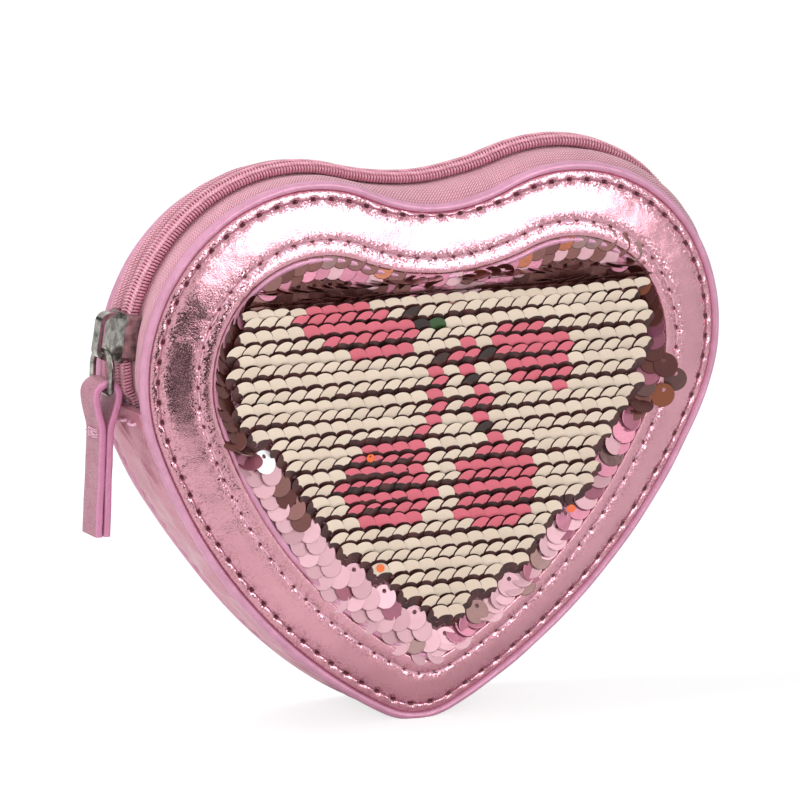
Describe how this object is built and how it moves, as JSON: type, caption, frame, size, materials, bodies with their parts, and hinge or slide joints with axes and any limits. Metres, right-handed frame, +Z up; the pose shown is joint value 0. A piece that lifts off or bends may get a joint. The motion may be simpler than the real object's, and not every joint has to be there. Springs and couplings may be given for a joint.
{
  "type": "heart shaped purse",
  "caption": "Heart shaped coin purse with a zip round the top, a sequin window in its padded front, a slider with a ring and a folded leather pull.",
  "frame": {"origin": "on the flat at the purse's lower tip, in the middle across and in the plane of the zip", "axes": "+X to the right seen from the front, -Y towards the front, +Z up from the tip to the lobes"},
  "size_m": [0.1383, 0.0282, 0.1141],
  "materials": {
    "foil_leather": "gloss",
    "piping": "satin",
    "thread": "satin",
    "wadding": "matte",
    "mesh_cloth": "satin",
    "lining": "matte",
    "zip_tape": "matte",
    "zip_coil": "satin",
    "nickel": "polished",
    "pull_leather": "gloss",
    "sequin_face": "satin",
    "sequin_reverse": "gloss"
  },
  "bodies": {
    "purse": {"front_panel": "foil_leather", "back_panel": "foil_leather", "lower_gusset": "foil_leather", "front_binding": "piping", "back_binding": "piping", "window_binding": "piping", "front_stitching": "thread", "window_stitching": "thread", "back_stitching": "thread", "gusset_end_stitching": "thread", "front_padding": "wadding", "back_padding": "wadding", "sequin_mesh": "mesh_cloth", "front_lining": "lining", "back_lining": "lining", "gusset_lining": "lining", "front_zip_tape": "zip_tape", "back_zip_tape": "zip_tape", "front_zip_coil": "zip_coil", "back_zip_coil": "zip_coil", "standing_sequins": "sequin_reverse", "border_sequins": "sequin_reverse"},
    "slider": {"slider_body": "nickel", "slider_bridge": "nickel"},
    "ring": {"pull_ring": "nickel"},
    "pull": {"pull_tab": "pull_leather", "pull_tack": "thread"},
    "row_01": {"sequin_row_01": "sequin_face"},
    "row_02": {"sequin_row_02": "sequin_face"},
    "row_03": {"sequin_row_03": "sequin_face"},
    "row_04": {"sequin_row_04": "sequin_face"},
    "row_05": {"sequin_row_05": "sequin_face"},
    "row_06": {"sequin_row_06": "sequin_face"},
    "row_07": {"sequin_row_07": "sequin_face"},
    "row_08": {"sequin_row_08": "sequin_face"},
    "row_09": {"sequin_row_09": "sequin_face"},
    "row_10": {"sequin_row_10": "sequin_face"},
    "row_11": {"sequin_row_11": "sequin_face"},
    "row_12": {"sequin_row_12": "sequin_face"},
    "row_13": {"sequin_row_13": "sequin_face"},
    "row_14": {"sequin_row_14": "sequin_face"},
    "row_15": {"sequin_row_15": "sequin_face"},
    "row_16": {"sequin_row_16": "sequin_face"},
    "row_17": {"sequin_row_17": "sequin_face"},
    "row_18": {"sequin_row_18": "sequin_face"},
    "row_19": {"sequin_row_19": "sequin_face"},
    "row_20": {"sequin_row_20": "sequin_face"},
    "row_21": {"sequin_row_21": "sequin_face"},
    "row_22": {"sequin_row_22": "sequin_face"},
    "row_23": {"sequin_row_23": "sequin_face"},
    "row_24": {"sequin_row_24": "sequin_face"},
    "row_25": {"sequin_row_25": "sequin_face"},
    "row_26": {"sequin_row_26": "sequin_face"}
  },
  "joints": [
    {"name": "slider_travel", "type": "hinge", "parent": "purse", "child": "slider", "pos_m": [-0.0281, 0, 0.07671], "axis": [0, 1, 0], "range_deg": [0, 88]},
    {"name": "ring_swing", "type": "hinge", "parent": "slider", "child": "ring", "pos_m": [-0.06897, 0, 0.07882], "axis": [0, 1, 0], "range_deg": [0, 150]},
    {"name": "tab_swing", "type": "hinge", "parent": "ring", "child": "pull", "pos_m": [-0.06897, 0, 0.07052], "axis": [0, 1, 0], "range_deg": [-8, 45]},
    {"name": "row_01_flip", "type": "hinge", "parent": "purse", "child": "row_01", "pos_m": [0, -0.01441, 0.0203], "axis": [1, 0, 0], "range_deg": [0, 152]},
    {"name": "row_02_flip", "type": "hinge", "parent": "purse", "child": "row_02", "pos_m": [0, -0.01441, 0.0228], "axis": [1, 0, 0], "range_deg": [0, 152]},
    {"name": "row_03_flip", "type": "hinge", "parent": "purse", "child": "row_03", "pos_m": [0, -0.01441, 0.0253], "axis": [1, 0, 0], "range_deg": [0, 152]},
    {"name": "row_04_flip", "type": "hinge", "parent": "purse", "child": "row_04", "pos_m": [0, -0.01441, 0.0278], "axis": [1, 0, 0], "range_deg": [0, 152]},
    {"name": "row_05_flip", "type": "hinge", "parent": "purse", "child": "row_05", "pos_m": [0, -0.01441, 0.0303], "axis": [1, 0, 0], "range_deg": [0, 152]},
    {"name": "row_06_flip", "type": "hinge", "parent": "purse", "child": "row_06", "pos_m": [0, -0.01441, 0.0328], "axis": [1, 0, 0], "range_deg": [0, 152]},
    {"name": "row_07_flip", "type": "hinge", "parent": "purse", "child": "row_07", "pos_m": [0, -0.01441, 0.0353], "axis": [1, 0, 0], "range_deg": [0, 152]},
    {"name": "row_08_flip", "type": "hinge", "parent": "purse", "child": "row_08", "pos_m": [0, -0.01441, 0.0378], "axis": [1, 0, 0], "range_deg": [0, 152]},
    {"name": "row_09_flip", "type": "hinge", "parent": "purse", "child": "row_09", "pos_m": [0, -0.01441, 0.0403], "axis": [1, 0, 0], "range_deg": [0, 152]},
    {"name": "row_10_flip", "type": "hinge", "parent": "purse", "child": "row_10", "pos_m": [0, -0.01441, 0.0428], "axis": [1, 0, 0], "range_deg": [0, 152]},
    {"name": "row_11_flip", "type": "hinge", "parent": "purse", "child": "row_11", "pos_m": [0, -0.01441, 0.0453], "axis": [1, 0, 0], "range_deg": [0, 152]},
    {"name": "row_12_flip", "type": "hinge", "parent": "purse", "child": "row_12", "pos_m": [0, -0.01441, 0.0478], "axis": [1, 0, 0], "range_deg": [0, 152]},
    {"name": "row_13_flip", "type": "hinge", "parent": "purse", "child": "row_13", "pos_m": [0, -0.01441, 0.0503], "axis": [1, 0, 0], "range_deg": [0, 152]},
    {"name": "row_14_flip", "type": "hinge", "parent": "purse", "child": "row_14", "pos_m": [0, -0.01441, 0.0528], "axis": [1, 0, 0], "range_deg": [0, 152]},
    {"name": "row_15_flip", "type": "hinge", "parent": "purse", "child": "row_15", "pos_m": [0, -0.01441, 0.0553], "axis": [1, 0, 0], "range_deg": [0, 152]},
    {"name": "row_16_flip", "type": "hinge", "parent": "purse", "child": "row_16", "pos_m": [0, -0.01441, 0.0578], "axis": [1, 0, 0], "range_deg": [0, 152]},
    {"name": "row_17_flip", "type": "hinge", "parent": "purse", "child": "row_17", "pos_m": [0, -0.01441, 0.0603], "axis": [1, 0, 0], "range_deg": [0, 152]},
    {"name": "row_18_flip", "type": "hinge", "parent": "purse", "child": "row_18", "pos_m": [0, -0.01441, 0.0628], "axis": [1, 0, 0], "range_deg": [0, 152]},
    {"name": "row_19_flip", "type": "hinge", "parent": "purse", "child": "row_19", "pos_m": [0, -0.01441, 0.0653], "axis": [1, 0, 0], "range_deg": [0, 152]},
    {"name": "row_20_flip", "type": "hinge", "parent": "purse", "child": "row_20", "pos_m": [0, -0.01441, 0.0678], "axis": [1, 0, 0], "range_deg": [0, 152]},
    {"name": "row_21_flip", "type": "hinge", "parent": "purse", "child": "row_21", "pos_m": [0, -0.01441, 0.0703], "axis": [1, 0, 0], "range_deg": [0, 152]},
    {"name": "row_22_flip", "type": "hinge", "parent": "purse", "child": "row_22", "pos_m": [0, -0.01441, 0.0728], "axis": [1, 0, 0], "range_deg": [0, 152]},
    {"name": "row_23_flip", "type": "hinge", "parent": "purse", "child": "row_23", "pos_m": [0, -0.01441, 0.0753], "axis": [1, 0, 0], "range_deg": [0, 152]},
    {"name": "row_24_flip", "type": "hinge", "parent": "purse", "child": "row_24", "pos_m": [0, -0.01441, 0.0778], "axis": [1, 0, 0], "range_deg": [0, 152]},
    {"name": "row_25_flip", "type": "hinge", "parent": "purse", "child": "row_25", "pos_m": [0, -0.01441, 0.0803], "axis": [1, 0, 0], "range_deg": [0, 152]},
    {"name": "row_26_flip", "type": "hinge", "parent": "purse", "child": "row_26", "pos_m": [0, -0.01441, 0.0828], "axis": [1, 0, 0], "range_deg": [0, 152]}
  ],
  "couplings": [
    {"joint": "row_01_flip", "follows": "row_24_flip", "ratio": 1},
    {"joint": "row_02_flip", "follows": "row_24_flip", "ratio": 1},
    {"joint": "row_03_flip", "follows": "row_24_flip", "ratio": 1},
    {"joint": "row_04_flip", "follows": "row_24_flip", "ratio": 1},
    {"joint": "row_05_flip", "follows": "row_24_flip", "ratio": 1},
    {"joint": "row_06_flip", "follows": "row_24_flip", "ratio": 1},
    {"joint": "row_07_flip", "follows": "row_24_flip", "ratio": 1},
    {"joint": "row_08_flip", "follows": "row_24_flip", "ratio": 1},
    {"joint": "row_09_flip", "follows": "row_24_flip", "ratio": 1},
    {"joint": "row_10_flip", "follows": "row_24_flip", "ratio": 1},
    {"joint": "row_11_flip", "follows": "row_24_flip", "ratio": 1},
    {"joint": "row_12_flip", "follows": "row_24_flip", "ratio": 1},
    {"joint": "row_13_flip", "follows": "row_24_flip", "ratio": 1},
    {"joint": "row_14_flip", "follows": "row_24_flip", "ratio": 1},
    {"joint": "row_15_flip", "follows": "row_24_flip", "ratio": 1},
    {"joint": "row_16_flip", "follows": "row_24_flip", "ratio": 1},
    {"joint": "row_17_flip", "follows": "row_24_flip", "ratio": 1},
    {"joint": "row_18_flip", "follows": "row_24_flip", "ratio": 1},
    {"joint": "row_19_flip", "follows": "row_24_flip", "ratio": 1},
    {"joint": "row_20_flip", "follows": "row_24_flip", "ratio": 1},
    {"joint": "row_21_flip", "follows": "row_24_flip", "ratio": 1},
    {"joint": "row_22_flip", "follows": "row_24_flip", "ratio": 1},
    {"joint": "row_23_flip", "follows": "row_24_flip", "ratio": 1},
    {"joint": "row_25_flip", "follows": "row_24_flip", "ratio": 1},
    {"joint": "row_26_flip", "follows": "row_24_flip", "ratio": 1}
  ]
}
